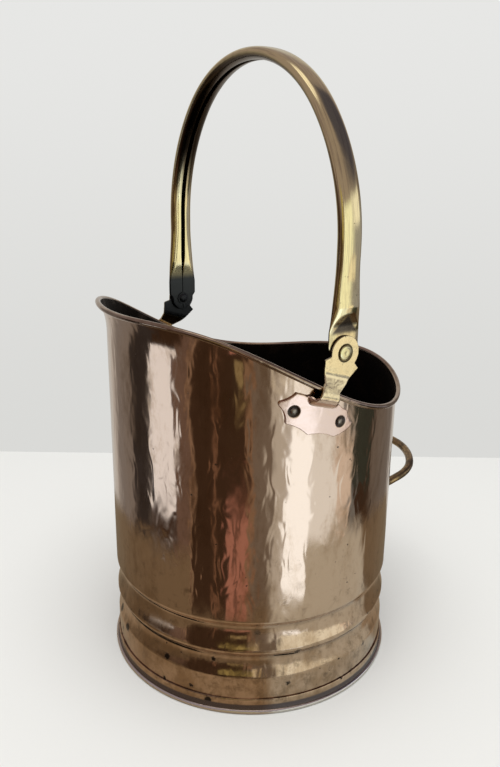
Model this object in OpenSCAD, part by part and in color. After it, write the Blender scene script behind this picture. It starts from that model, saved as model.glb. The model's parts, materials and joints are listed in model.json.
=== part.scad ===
// Coal scuttle: a round sheet metal bucket with a raised pouring lip, two pressed bands,
// a rolled foot, a swinging bail in two scalloped ears, and a fixed bow handle at the back.
// Millimetres. The origin is the centre of the circle on which the foot stands, +Z is up,
// the lip points to -Y, the bow handle to +Y, and the bail turns about an axis along X.

/* [Bucket] */
// Outside diameter of the wall
body_d = 264.6; // [250:0.2:285]
// Thickness of the wall sheet
sheet_t = 0.9; // [0.7:0.1:1.2]
// Height of the wall's lower edge above the floor
wall_base_h = 2; // [1.5:0.5:4]

/* [Mouth] */
// Height of the rolled edge at the lip
lip_h = 342; // [330:1:355]
// Height of the rolled edge at the back
back_h = 279; // [272:1:290]
// How far in front of the axis the lip's pull point lies
lip_pull_y = 76; // [66:1:86]
// Height of the lip's pull point
lip_pull_h = 352; // [342:1:362]
// How far behind the axis the dip's pull point lies
dip_pull_y = 27; // [17:1:37]
// Height of the dip's pull point
dip_pull_h = 215.5; // [205:0.5:226]
// How far the lip flares outwards at its top
lip_flare = 5; // [2:0.5:8]
// Height at which the flare starts
flare_start_h = 316; // [306:1:324]

/* [Rolled rim] */
// Outside diameter of the rolled edge
curl_d = 4.6; // [4:0.1:5.4]
// Running room round the wire inside the roll
wire_clear = 0.1; // [0.05:0.01:0.15]

/* [Bands] */
// Depth of the two pressed bands
band_depth = 4; // [2:0.25:5]
// Height of the upper band's lower edge
upper_band_z = 62; // [60:0.5:70]
// Height of the upper band from edge to edge
upper_band_h = 28; // [22:0.5:34]
// Height of the lower band's lower edge
lower_band_z = 35; // [32:0.5:36]
// Height of the lower band from edge to edge
lower_band_h = 24.5; // [20:0.5:24.5]
// Share of a band's height that slopes outwards below its deepest line
band_cove = 0.72; // [0.6:0.02:0.8]

/* [Foot and base] */
// How far the foot's rolled bead stands out beyond the wall
foot_flare = 3.7; // [2.9:0.1:8]
// Height of the foot band up the wall
foot_h = 14; // [12:0.5:18]
// Thickness of the foot's sheet
foot_t = 0.9; // [0.7:0.1:1.2]
// Diameter of the foot's rolled bead
bead_d = 4.4; // [4:0.1:5.4]
// Depth of the flat that the foot's bead has worn where it stands
foot_flat = 0.2; // [0.1:0.05:0.4]
// Diameter of the wire inside the foot's bead
foot_wire_d = 2.4; // [2:0.1:2.6]
// Thickness of the base pan
base_t = 1; // [0.8:0.1:1.4]
// Height of the base pan's underside above the floor
base_h = 4; // [3:0.5:6]
// Height of the base pan's upturned flange
base_flange_h = 9; // [7:0.5:14]

/* [Ears] */
// Height of the bail's pivot axis above the middle of the rolled edge beside it
pivot_rise = 37.12; // [33:0.02:42]
// Distance of the pivot axis in front of the bucket's axis
pivot_forward = 3; // [0:0.5:6]
// How far the eye's inner face stands inside the wall's outside
eye_inset = 4.7; // [3.5:0.1:5.5]
// Thickness of an ear
ear_t = 2; // [1.6:0.1:2.4]
// Angle by which an ear leans back
ear_tilt = 18.5; // [16:0.5:21]
// Radius of an ear's eye
eye_r = 13.8; // [13:0.2:15]
// Half width of an ear's shoulders
shoulder_w = 17.75; // [16:0.25:20]
// Distance from an ear's eye down to the middle of its riveted plate
plate_drop = 52.2; // [51:0.2:54]
// Half the distance between an ear's two rivets
ear_rivet_half = 21; // [19:0.5:22]

/* [Bail] */
// Width of the bail's folded section
bail_w = 21.4; // [18:0.2:24]
// Depth of the bail's folded section
bail_depth = 10.2; // [9:0.2:11]
// Thickness of the bail's sheet
bail_t = 1; // [0.8:0.1:1.4]
// Width of the open seam along the inside of the bail
bail_seam = 3; // [2:0.25:4]
// Height of the bail's top edge above the pivot axis
bail_rise = 229.2; // [215:0.2:245]
// Height of the bail's widest point above the pivot axis
bail_waist = 82; // [75:1:90]
// How far the middle of an arm stands outside the middle of its pressed end
arm_draw = 1.1; // [0.6:0.1:2]
// Thickness of the bail's flattened ends
tab_t = 2.4; // [2:0.1:3]
// Width to which pressing flat has spread the bail's ends
tab_w = 30.4; // [27:0.2:32]
// Radius of the flattened ends round the pivot
tab_r = 12; // [10:0.25:12.5]

/* [Pivots] */
// Diameter of a pivot rivet's shank
pivot_d = 6; // [5:0.1:7]
// Radial running room of the bail's end on the shank
pivot_clear = 0.08; // [0.05:0.01:0.1]
// Side room between an ear and the bail's end, and again behind it
side_gap = 0.3; // [0.2:0.05:0.5]
// Diameter of a pivot rivet's head
pivot_head_d = 11.6; // [9:0.1:12.2]
// Thickness of a pivot washer
washer_t = 0.8; // [0.6:0.1:1.2]

/* [Bow handle] */
// Height at which the bow handle leaves the wall
bow_h = 148.7; // [140:0.5:160]
// Half the distance between the bow handle's two legs
bow_half = 60.5; // [55:0.5:66]
// How far the bow handle stands out behind the wall
bow_reach = 55.7; // [48:0.5:64]
// Angle by which the bow handle rises outwards
bow_rise = 11.3; // [6:0.1:16]
// Diameter of the bow handle's rod
bow_d = 8; // [7:0.25:9.5]
// Thickness of the bow handle's flattened feet
bow_foot_t = 2.6; // [2:0.1:3.2]

/* [Rivets] */
// Diameter of a fixing rivet's shank
rivet_d = 3.4; // [3:0.1:4]
// Diameter of a fixing rivet's head
rivet_head_d = 5.6; // [5.2:0.1:6.4]
// Height of a fixing rivet's head
rivet_head_h = 1.3; // [1:0.1:1.8]

/* [Hidden] */
$fn = 96;

seat = 0.05;                        // room between two sheets that are soldered or riveted
rim_room = 0.3;                     // room between the wall's edge and the roll above it
body_r = body_d / 2;
foot_r = body_r + foot_flare;
curl_r = curl_d / 2;
bead_r = bead_d / 2;
far = body_d;                       // longer than any cut needs

// ---- colours
copper = [0.45, 0.33, 0.22];
old_brass = [0.70, 0.58, 0.33];
dark_brass = [0.42, 0.35, 0.22];
iron = [0.25, 0.25, 0.26];

// a skin over rings of points, an even number in each, closed on itself or capped
module skin(rings, closed = false) {
    count = len(rings);
    n = len(rings[0]);
    sides = [for (k = [0 : count - (closed ? 1 : 2)], i = [0 : n - 1]) let (
        a = k * n + i, b = k * n + (i + 1) % n,
        c = ((k + 1) % count) * n + (i + 1) % n, d = ((k + 1) % count) * n + i)
        each [[a, b, c], [a, c, d]]];
    // a cap is a strip between the ring's first half and its second
    caps = closed ? [] : [for (end = [0, (count - 1) * n], i = [0 : n / 2 - 2]) let (
        a = end + i, b = end + i + 1, c = end + n - 2 - i, d = end + n - 1 - i)
        each end > 0 ? [[a, b, c], [a, c, d]] : [[c, b, a], [d, c, a]]];
    polyhedron([for (r = rings) each r], concat(sides, caps), convexity = 10);
}

function reversed(p) = [for (i = [len(p) - 1 : -1 : 0]) p[i]];

// ---- the mouth: one cubic curve seen from the side, through the middle of the rolled edge
mouth_reach = body_r + lip_flare + curl_d;
mouth_steps = 40;
mouth_pulls = [[-mouth_reach, lip_h], [-lip_pull_y, lip_pull_h],
               [dip_pull_y, dip_pull_h], [mouth_reach, back_h]];
function cubic(p, t) = pow(1 - t, 3) * p[0] + 3 * pow(1 - t, 2) * t * p[1]
                     + 3 * (1 - t) * t * t * p[2] + pow(t, 3) * p[3];
function mouth_point(t) = cubic(mouth_pulls, t);
// the curve's parameter at a given y, by halving the interval
function mouth_t(y, lo = 0, hi = 1, n = 26) = n == 0 ? (lo + hi) / 2 :
    mouth_point((lo + hi) / 2)[0] < y ? mouth_t(y, (lo + hi) / 2, hi, n - 1)
                                      : mouth_t(y, lo, (lo + hi) / 2, n - 1);
function mouth_z(y) = mouth_point(mouth_t(y))[1];

pivot_h = mouth_z(-pivot_forward) + pivot_rise;

// everything below the mouth curve, lowered by drop
module below_mouth(drop) {
    curve = [for (i = [0 : mouth_steps]) mouth_point(i / mouth_steps) - [0, drop]];
    rotate([90, 0, 90])
        linear_extrude(2 * far, center = true)
            polygon(concat([[-mouth_reach, -far]], curve, [[mouth_reach, -far]]));
}

// ---- the wall: straight, with two bands pressed in and a flare at the lip
flare_top_h = lip_h + curl_d;
function flare(z) = z <= flare_start_h ? 0 :
    lip_flare * pow((z - flare_start_h) / (lip_h - flare_start_h), 2);
function band_dip(z, z0, h) =
    let (u = (z - z0) / h)
    u <= 0 || u >= 1 ? 0 :
    u < band_cove ? band_depth * sin(90 * u / band_cove)
                  : band_depth * cos(90 * (u - band_cove) / (1 - band_cove));
function wall_r(z) = body_r + flare(z) - band_dip(z, upper_band_z, upper_band_h)
                                       - band_dip(z, lower_band_z, lower_band_h);
cove_steps = 6;
edge_steps = 4;
flare_steps = 8;
function band_levels(z0, h) = concat(
    [for (i = [0 : cove_steps]) z0 + h * band_cove * i / cove_steps],
    [for (i = [1 : edge_steps]) z0 + h * (band_cove + (1 - band_cove) * i / edge_steps)]);
wall_levels = concat([wall_base_h], band_levels(lower_band_z, lower_band_h),
    band_levels(upper_band_z, upper_band_h),
    [for (i = [0 : flare_steps])
        flare_start_h + (flare_top_h - flare_start_h) * i / flare_steps]);

function wall_path(inset) = [for (z = wall_levels) [wall_r(z) - inset, z]];
module body_shell() {
    color(copper) difference() {
        intersection() {
            rotate_extrude() polygon(concat(wall_path(0), reversed(wall_path(sheet_t))));
            below_mouth(rim_room);
        }
        for (side = [-1, 1]) {
            for (at = ear_rivet_points) on_wall(side, at) rivet_hole();
            for (at = foot_rivet_points) on_wall(side, at) rivet_hole();
        }
    }
}

// ---- the rolled edge, swept round the mouth with its wire inside
curl_mid_r = body_r - sheet_t + curl_r;
curl_rings = 96;
curl_arc_steps = 9;
curl_start = 180;                   // the roll starts as the top of the wall
curl_end = -112;                    // and ends tucked under, beside the wall
function rim_radius(y) = curl_mid_r + flare(mouth_z(y));
function rim_point(a) = let (y = curl_mid_r * sin(a), r = rim_radius(y))
    [r * cos(a), r * sin(a), mouth_z(r * sin(a))];
function unit(v) = v / norm(v);
// one ring: the outline's first number runs outwards, its second up across the rim
function rim_ring(a, outline) = let (
    p = rim_point(a),
    along = unit(rim_point(a + 1) - rim_point(a - 1)),
    flat_out = [cos(a), sin(a), 0],
    up = unit(cross(flat_out, along)),
    out = cross(along, up))
    [for (q = outline) p + q[0] * out + q[1] * up];
function arc_points(r, a0, a1, n) = [for (i = [0 : n]) let (a = a0 + (a1 - a0) * i / n)
    [r * cos(a), r * sin(a)]];
curl_outline = concat(arc_points(curl_r, curl_end, curl_start, curl_arc_steps),
    arc_points(curl_r - sheet_t, curl_start, curl_end, curl_arc_steps));
rim_wire_r = curl_r - sheet_t - wire_clear;
wire_outline = [for (i = [0 : 9]) [rim_wire_r * cos(36 * i), rim_wire_r * sin(36 * i)]];

module rim_sweep(outline) {
    skin([for (k = [0 : curl_rings - 1]) rim_ring(360 * k / curl_rings, outline)], true);
}

module rim_curl() { color(copper) rim_sweep(curl_outline); }

module rim_wire() { color(iron) rim_sweep(wire_outline); }

// ---- base and foot
base_r = body_r - sheet_t - seat;
module base_pan() {
    color(copper) rotate_extrude() union() {
        translate([0, base_h]) square([base_r, base_t]);
        translate([base_r - base_t, base_h]) square([base_t, base_flange_h]);
    }
}

skirt_r = body_r + seat;
bead_z = bead_r - foot_flat;
bead_mid_r = foot_r - bead_r;
cove_top = 0.62 * foot_h;           // where the foot's skirt starts to turn outwards
skirt_steps = 5;
// the skirt leaves the wall in a quarter wave and runs into the bead
function skirt_r_at(z) = z >= cove_top ? skirt_r :
    skirt_r + (bead_mid_r - skirt_r) * (1 - sin(90 * (z - bead_z) / (cove_top - bead_z)));
skirt_levels = concat([for (i = [0 : skirt_steps])
    bead_z + (cove_top - bead_z) * i / skirt_steps], [foot_h]);

module foot_ring() {
    outside = [for (z = skirt_levels) [skirt_r_at(z) + foot_t, z]];
    inside = [for (z = skirt_levels) [skirt_r_at(z), z]];
    color(copper) rotate_extrude() difference() {
        union() {
            polygon(concat(outside, reversed(inside)));
            translate([bead_mid_r, bead_z]) circle(bead_r, $fn = 48);
        }
        translate([bead_mid_r, bead_z]) circle(foot_wire_d / 2 + wire_clear, $fn = 48);
        translate([bead_mid_r - far, -far]) square([2 * far, far]);
        translate([0, -1]) square([skirt_r, bead_z + 1 + foot_h]);
    }
}

module foot_wire() {
    color(iron) rotate_extrude()
        translate([bead_mid_r, bead_z]) circle(foot_wire_d / 2, $fn = 48);
}

// ---- rivets
// a fixing rivet lies along +X, with the outside of the joint at x = 0
module rivet_hole() {
    rotate([0, 90, 0]) cylinder(h = 40, r = rivet_d / 2 + seat, center = true, $fn = 32);
}

module fixing_rivet(grip) {
    tail_h = rivet_head_h / 2;
    head_r = rivet_head_d / 2;
    rotate([0, 90, 0]) {
        translate([0, 0, -grip - tail_h]) cylinder(h = grip + tail_h, d = rivet_d, $fn = 32);
        dome(head_r, rivet_head_h);
        translate([0, 0, -grip - seat]) mirror([0, 0, 1]) dome(head_r, tail_h);
    }
}

// a low round head on the plane z = 0
module dome(r, h) {
    ball_r = (r * r + h * h) / (2 * h);
    intersection() {
        translate([0, 0, h - ball_r]) sphere(ball_r, $fn = 64);
        cylinder(h = h, r = r, $fn = 48);
    }
}

// puts a child on the wall at [y, z], pointing straight out, on the side +X or -X
module on_wall(side, at) {
    mirror([side < 0 ? 1 : 0, 0, 0])
        rotate([0, 0, asin(at[0] / body_r)])
            translate([body_r, 0, at[1]]) children();
}

// ---- ears
// an ear's own axes start at the pivot: u runs back along the rim, v runs up
function ear_place(u, v) = [-pivot_forward + u * cos(ear_tilt) + v * sin(ear_tilt),
                            pivot_h - u * sin(ear_tilt) + v * cos(ear_tilt)];
plate_u = -9.3;                     // the plate sits forward of the eye
rivet_v = -plate_drop - 0.8;
ear_rivet_points = [for (s = [-1, 1]) ear_place(plate_u + s * ear_rivet_half, rivet_v)];
eye_x = body_r - eye_inset;         // inner face of the eye
bulge_x = body_r - sheet_t + curl_d + 0.2;  // inner face where the ear clears the roll
plate_x = body_r - 0.7;
shoulder_v = -9;
plate_top_v = 13.8 - plate_drop;    // the plate reaches up to just under the roll

// the folded strip seen along u, as its inner face from the eye down to the plate; the third
// number lifts the outer face at each bend, so that the sheet keeps its thickness
ear_fold = [[eye_x, eye_r + 3, 0], [eye_x, -23.5, 0.9], [bulge_x, -31.2, 0.9],
            [bulge_x, -39.2, -0.9], [plate_x, -43.6, -0.9], [plate_x, -48, 0]];

// the eye and the strip below it
module strip_outline() {
    circle(eye_r);
    polygon([[-eye_r, 0], [2 - eye_r, shoulder_v + 2.5], [-shoulder_w, shoulder_v],
             [-14.7, -21.5], [-14.6, -27], [-17, -33], [-19.2, plate_top_v],
             [-19.2, -plate_drop], [0.6, -plate_drop], [0.6, -34], [1.2, -31.5], [8.6, -24],
             [shoulder_w, shoulder_v], [eye_r - 2, shoulder_v + 2.5], [eye_r, 0]]);
}

// the riveted plate's scalloped edge from its upper front lobe down and round to its upper
// back corner: each point, and how far the edge to the next one bows outwards
plate_edge = [[-12, 12.4, -0.8], [-23.3, 13.8, -0.8], [-32.2, 4.2, 0.8], [-32.2, 0.6, -1.6],
              [-23, -11.8, -1.6], [-3.6, -16.5, -2], [19, -14, 1.2], [33.4, -2.4, 0.4],
              [33.4, 0, -1.4], [25, 9, -0.6], [14, 12.8, 0]];
scallop_steps = 6;
// a chord bowed into an arc of a circle, as points from its start up to its end
function bowed(p, q, bow) = let (half = norm(q - p) / 2, side = [p[1] - q[1], q[0] - p[0]] / (2 * half))
    abs(bow) < 0.01 ? [p] : let (
        r = (half * half + bow * bow) / (2 * abs(bow)), turn = asin(half / r),
        dir = bow > 0 ? -1 : 1, mid = (p + q) / 2 + dir * side * (r - abs(bow)))
        [for (i = [0 : scallop_steps - 1]) let (a = turn * (2 * i / scallop_steps - 1))
            mid + r * sin(a) * (q - p) / (2 * half) - dir * side * r * cos(a)];
module scalloped_plate() {
    polygon([for (i = [0 : len(plate_edge) - 1]) let (
        p = plate_edge[i], q = plate_edge[(i + 1) % len(plate_edge)])
        each bowed([p[0], p[1]], [q[0], q[1]], -p[2])]);
}

// puts a flat outline beside the wall, in the ear's own axes
module ear_prism() {
    translate([body_r - 20, -pivot_forward, pivot_h]) rotate([-ear_tilt, 0, 0])
        rotate([90, 0, 90]) linear_extrude(40) children();
}

module ear() {
    color(old_brass) difference() {
        union() {
            intersection() {
                difference() {
                    cylinder(h = pivot_h, r = body_r + seat + ear_t);
                    translate([0, 0, -1]) cylinder(h = pivot_h + 2, r = body_r + seat);
                    translate([0, -pivot_forward, pivot_h]) rotate([-ear_tilt, 0, 0])
                        translate([-far, -far, plate_top_v]) cube(2 * far);
                }
                ear_prism() translate([plate_u, -plate_drop]) scalloped_plate();
            }
            intersection() {
                translate([0, -pivot_forward, pivot_h]) rotate([-ear_tilt, 0, 0])
                    rotate([90, 0, 0]) linear_extrude(4 * plate_drop, center = true)
                        polygon(concat([for (p = ear_fold) [p[0], p[1]]],
                            reversed([for (p = ear_fold) [p[0] + ear_t, p[1] + p[2]]])));
                ear_prism() strip_outline();
            }
        }
        // the wall and the roll keep their own room
        intersection() {
            cylinder(h = 2 * pivot_h, r = body_r + seat);
            below_mouth(0);
        }
        for (at = ear_rivet_points) on_wall(1, at) {
            rivet_hole();
            translate([ear_t + seat - dish_depth, 0, 0]) rotate([0, 90, 0])
                cylinder(h = 5, r1 = rivet_head_d / 2 + 0.2, r2 = rivet_head_d / 2 + 6);
        }
        at_pivot(eye_x - 1) cylinder(h = ear_t + 2, d = pivot_d + seat, $fn = 48);
        at_pivot(eye_x + ear_t - eye_recess)
            cylinder(h = 2, d = pivot_head_d + 3, $fn = 64);
    }
}

dish_depth = 0.8;                   // each rivet sits in a small dished dimple
eye_recess = 0.6;                   // the pivot's head sits in a round recess

// puts a child with its axis along +X on the pivot axis, starting at x
module at_pivot(x) {
    translate([x, -pivot_forward, pivot_h]) rotate([0, 90, 0]) children();
}

module ear_right() { ear(); }
module ear_left() { mirror([1, 0, 0]) ear(); }

module ear_rivets(side) {
    color(old_brass) for (at = ear_rivet_points) on_wall(side, at)
        translate([ear_t + seat - dish_depth, 0, 0])
            fixing_rivet(ear_t + seat - dish_depth + sheet_t);
}
module ear_rivets_right() { ear_rivets(1); }
module ear_rivets_left() { ear_rivets(-1); }

// ---- pivots: head outside the ear, shank through ear and bail, tail over a washer inside
tab_x = eye_x - side_gap - tab_t;   // inner face of the bail's flattened end
washer_x = tab_x - side_gap - washer_t;
pivot_head_h = 1.6;
pivot_tail_h = 1.4;

module pivot_rivet() {
    shank_end = eye_x + ear_t - eye_recess;
    color(old_brass) {
        at_pivot(washer_x - pivot_tail_h / 2)
            cylinder(h = shank_end - washer_x + pivot_tail_h / 2, d = pivot_d, $fn = 48);
        at_pivot(shank_end) dome(pivot_head_d / 2, pivot_head_h);
        at_pivot(washer_x) mirror([0, 0, 1]) difference() {
            dome(pivot_d / 2 + 1.6, pivot_tail_h);
            translate([0, 0, pivot_tail_h / 2]) cylinder(h = 2, d = pivot_d / 2, $fn = 32);
        }
    }
}
module pivot_rivet_right() { pivot_rivet(); }
module pivot_rivet_left() { mirror([1, 0, 0]) pivot_rivet(); }

module pivot_washer() {
    color(dark_brass) at_pivot(washer_x) difference() {
        cylinder(h = washer_t, d = 2 * pivot_d, $fn = 48);
        translate([0, 0, -1]) cylinder(h = washer_t + 2, d = pivot_d + 2 * seat, $fn = 48);
    }
}
module pivot_washer_right() { pivot_washer(); }
module pivot_washer_left() { mirror([1, 0, 0]) pivot_washer(); }

// ---- bail: an arch of tangent arcs, folded from sheet with its open seam inside
tab_mid_x = tab_x + tab_t / 2;
bail_half = tab_mid_x + arm_draw;   // middle of an arm, which runs straight up to the shoulder
waist_z = pivot_h + bail_waist;
arch_h = bail_rise - bail_waist - bail_depth / 2;
crown_turn = 50;                    // half the angle of the crown's arc
// two radii that end the crown and shoulder arcs upright at the widest point
shoulder_r = (arch_h * sin(crown_turn) - bail_half * (1 - cos(crown_turn)))
    / (cos(crown_turn) * sin(crown_turn)
       - (1 - sin(crown_turn)) * (1 - cos(crown_turn)));
crown_r = (bail_half - shoulder_r * (1 - sin(crown_turn))) / sin(crown_turn);
crown_mid = [0, waist_z + arch_h - crown_r];
shoulder_mid = crown_mid + (crown_r - shoulder_r) * [sin(crown_turn), cos(crown_turn)];

// the folded section where the bail is open by a share from 0 (pressed flat) to 1: first
// number outwards from the arch's middle line, second across; seam is half the gap left
pressed_depth = tab_t - 0.4;
edge_r_in = 2.6;
edge_r_out = 4.8;
lip_turn = 2.6;                     // how far the seam's edges are turned inwards
function section_corner(w, v, r, a0, n) = [for (i = [0 : n]) let (a = a0 + 90 * i / n)
    [w + r * sin(a), v + r * cos(a)]];
// one side of the sheet from the seam round to the back
function section_half(depth, width, seam, lip, r_in, r_out) = concat(
    [[lip - depth / 2, seam], [-depth / 2, seam]],
    section_corner(r_in - depth / 2, width / 2 - r_in, r_in, -90, 3),
    section_corner(depth / 2 - r_out, width / 2 - r_out, r_out, 0, 4));
function mirrored(p) = [for (q = p) [q[0], -q[1]]];
function bail_section(open, seam, width) = let (
    depth = pressed_depth + (bail_depth - pressed_depth) * open,
    t = min(bail_t, 0.4 * depth),
    lip = t + 0.1 + (lip_turn - bail_t - 0.1) * open,
    r_in = min(edge_r_in, depth / 4),
    r_out = min(edge_r_out, 0.47 * depth),
    outer = section_half(depth, width, seam, lip, r_in, r_out),
    fold_r = 0.45 * (depth - 2 * t),
    inner = section_half(depth - 2 * t, width - 2 * t, seam + t, lip - t,
                         min(max(r_in - t, 0.2), fold_r), max(r_out - t, min(fold_r, 0.2))))
    concat(outer, reversed(mirrored(outer)), mirrored(inner), reversed(inner));

// stations from the right end up to the middle of the crown: the middle line's x and z, the
// outward angle above the X axis, and how far the section is open
function bail_arc(mid, r, a0, a1, n) = [for (i = [1 : n]) let (a = a0 + (a1 - a0) * i / n)
    [mid[0] + r * cos(a), mid[1] + r * sin(a), a, 1]];
tab_flat_h = 17;                    // height above the pivot at which an end is quite flat
tab_shoulder_h = 5;                 // and at which it reaches its full width
// above the flat the tube rounds out, quickly at first and then slowly up to the shoulder
swell_h = 22;
rest_h = 60;
function open_at(h) = let (q = max(0, min(1, (h - tab_flat_h) / swell_h)))
    0.62 * q * q * (3 - 2 * q) + 0.38 * max(0, min(1, (h - tab_flat_h) / rest_h));
function arm_out(h) = arm_draw * sin(90 * max(0, min(1, (h - tab_flat_h) / 20)));
arm_levels = [0, 2.5, 5, 8, 11, 14, 17, 21, 26, 33, 42, 52];
bail_side = concat([[tab_mid_x, pivot_h + tab_flat_h / 2, 0, 0]],
    [for (level = arm_levels) let (h = tab_flat_h + level)
        if (h < bail_waist - 4) [tab_mid_x + arm_out(h), pivot_h + h, 0, open_at(h)]],
    [[bail_half, waist_z, 0, 1]],
    bail_arc(shoulder_mid, shoulder_r, 0, 90 - crown_turn, 7),
    bail_arc(crown_mid, crown_r, 90 - crown_turn, 90, 9));
bail_stations = concat(bail_side,
    [for (i = [len(bail_side) - 2 : -1 : 0]) let (q = bail_side[i])
        [-q[0], q[1], 180 - q[2], q[3]]]);
// the seam closes to a point a little above the flattened end
seam_end_h = 21;
seam_taper = 22;
function seam_at(z) = 0.15 + bail_seam / 2
    * max(0, min(1, (z - pivot_h - seam_end_h) / seam_taper));
// the section's width, which spreads towards the flattened ends
spread_h = 70;
function width_at(z) = bail_w + (tab_w - 0.6 - bail_w)
    * pow(max(0, min(1, (spread_h + pivot_h - z) / (spread_h - tab_flat_h))), 1.4);

module bail() {
    color(old_brass) translate([0, -pivot_forward, 0]) difference() {
        union() {
            skin([for (q = bail_stations) [for (p = bail_section(q[3], seam_at(q[1]), width_at(q[1])))
                [q[0] + p[0] * cos(q[2]), p[1], q[1] + p[0] * sin(q[2])]]]);
            for (side = [0, 1]) mirror([side, 0, 0]) translate([tab_x, 0, pivot_h])
                rotate([90, 0, 90]) linear_extrude(tab_t) {
                    circle(tab_r);
                    polygon([[-tab_r, 0], [-tab_w / 2, tab_shoulder_h],
                             [-tab_w / 2, tab_flat_h], [tab_w / 2, tab_flat_h],
                             [tab_w / 2, tab_shoulder_h], [tab_r, 0]]);
                }
        }
        translate([-far, 0, pivot_h]) rotate([0, 90, 0])
            cylinder(h = 2 * far, r = pivot_d / 2 + pivot_clear, $fn = 48);
    }
}

// ---- bow handle at the back: two legs, two corner arcs and a long front arc
bow_wall_y = sqrt(body_r * body_r - bow_half * bow_half);
bow_out = (body_r + bow_reach - bow_wall_y) / cos(bow_rise);  // from leg's root to front
bow_front_r = 68;
bow_corner_r = 40;
bow_corner_turn = asin((bow_half - bow_corner_r) / (bow_front_r - bow_corner_r));
bow_leg = bow_out - bow_front_r
    + (bow_front_r - bow_corner_r) * cos(bow_corner_turn);

// the middle line from the right leg's root round to the left leg's: x, distance out from
// the root, and the outward angle above the X axis
function bow_arc(mid, r, a0, a1, n) = [for (i = [0 : n]) let (a = a0 + (a1 - a0) * i / n)
    [mid[0] + r * cos(a), mid[1] + r * sin(a), a]];
bow_side = concat([[bow_half, -bow_d, 0]],
    bow_arc([bow_half - bow_corner_r, bow_leg], bow_corner_r, 0, 90 - bow_corner_turn, 8),
    [for (i = [1 : 9]) bow_arc([0, bow_out - bow_front_r], bow_front_r,
                               90 - bow_corner_turn, 90, 9)[i]]);
bow_stations = concat(bow_side, [for (i = [len(bow_side) - 2 : -1 : 0])
    let (q = bow_side[i]) [-q[0], q[1], 180 - q[2]]]);
bow_sides = 20;

module bow_rod() {
    translate([0, bow_wall_y, bow_h]) rotate([bow_rise, 0, 0])
        skin([for (q = bow_stations) [for (k = [0 : bow_sides - 1])
            let (a = 360 * k / bow_sides, w = bow_d / 2 * cos(a))
            [q[0] + w * cos(q[2]), q[1] + w * sin(q[2]), bow_d / 2 * sin(a)]]]);
}

// a foot is the rod's end beaten flat against the wall, with two rivets
bow_foot_w = 17;
foot_rivet_offsets = [-13, -27];    // round the wall from the leg, so the feet point inwards
function round_wall(offset) = let (
    a = 90 - asin(bow_half / body_r) - offset * 180 / (PI * body_r))
    [body_r * sin(a), bow_h];
foot_rivet_points = [for (o = foot_rivet_offsets) round_wall(o)];
foot_end_x = body_r * cos(asin(round_wall(foot_rivet_offsets[1])[0] / body_r));

module rear_handle() {
    color(old_brass) difference() {
        union() {
            bow_rod();
            intersection() {
                translate([0, 0, bow_h - bow_foot_w])
                    cylinder(h = 2 * bow_foot_w, r = body_r + seat + bow_foot_t);
                rotate([-90, 0, 0]) linear_extrude(far) for (s = [-1, 1]) {
                    translate([s * bow_half, -bow_h]) circle(bow_foot_w / 2);
                    translate([s * foot_end_x, -bow_h]) circle(bow_foot_w / 2);
                    translate([s * (bow_half + foot_end_x) / 2, -bow_h])
                        square([abs(foot_end_x - bow_half), bow_foot_w], center = true);
                }
            }
        }
        cylinder(h = 2 * bow_h, r = body_r + seat);
        for (side = [-1, 1], at = foot_rivet_points) on_wall(side, at) rivet_hole();
    }
}

module handle_rivets(side) {
    color(old_brass) for (at = foot_rivet_points) on_wall(side, at)
        translate([bow_foot_t + 2 * seat, 0, 0])
            fixing_rivet(bow_foot_t + 2 * seat + sheet_t);
}
module handle_rivets_right() { handle_rivets(1); }
module handle_rivets_left() { handle_rivets(-1); }

body_shell();
rim_curl();
rim_wire();
base_pan();
foot_ring();
foot_wire();
ear_left();
ear_right();
ear_rivets_left();
ear_rivets_right();
pivot_rivet_left();
pivot_rivet_right();
pivot_washer_left();
pivot_washer_right();
bail();
rear_handle();
handle_rivets_left();
handle_rivets_right();
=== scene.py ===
import json
from math import cos, hypot, inf, pi, prod, radians, sin, sqrt

import bmesh
import bpy
from mathutils import Matrix, Vector


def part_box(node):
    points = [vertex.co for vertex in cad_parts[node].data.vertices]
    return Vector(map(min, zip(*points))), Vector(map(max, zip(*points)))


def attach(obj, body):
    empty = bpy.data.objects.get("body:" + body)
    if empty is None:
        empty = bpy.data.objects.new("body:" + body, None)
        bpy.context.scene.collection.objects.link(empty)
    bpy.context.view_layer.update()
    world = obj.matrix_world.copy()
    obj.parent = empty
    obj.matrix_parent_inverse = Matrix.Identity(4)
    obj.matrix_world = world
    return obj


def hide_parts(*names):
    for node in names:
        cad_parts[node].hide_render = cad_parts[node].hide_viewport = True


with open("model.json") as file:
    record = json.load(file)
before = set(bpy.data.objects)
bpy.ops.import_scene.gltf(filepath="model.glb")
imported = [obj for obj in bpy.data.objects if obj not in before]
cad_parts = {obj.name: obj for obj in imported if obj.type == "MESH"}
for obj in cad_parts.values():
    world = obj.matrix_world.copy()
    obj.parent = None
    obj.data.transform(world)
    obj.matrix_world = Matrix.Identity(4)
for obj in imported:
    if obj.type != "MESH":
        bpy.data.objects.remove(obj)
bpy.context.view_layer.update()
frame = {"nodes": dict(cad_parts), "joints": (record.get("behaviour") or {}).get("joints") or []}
mm = 0.001
sides = (1, "right"), (-1, "left")
pivot = Vector(frame["joints"][0]["pos_m"])

# sizes that several pieces share, as in the part's source
bucket = dict(
    wallRadius=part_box("body_shell")[1].x, sheet=0.9 * mm, baseHeight=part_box("body_shell")[0].z,
    flareStart=316 * mm, flareTop=342 * mm, flare=5 * mm,
    # the mouth seen from the side, as the four points of one curve in y and z
    mouth=[(-141.9 * mm, 342 * mm), (-76 * mm, 352 * mm), (27 * mm, 215.5 * mm), (141.9 * mm, 279 * mm)],
)

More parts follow.
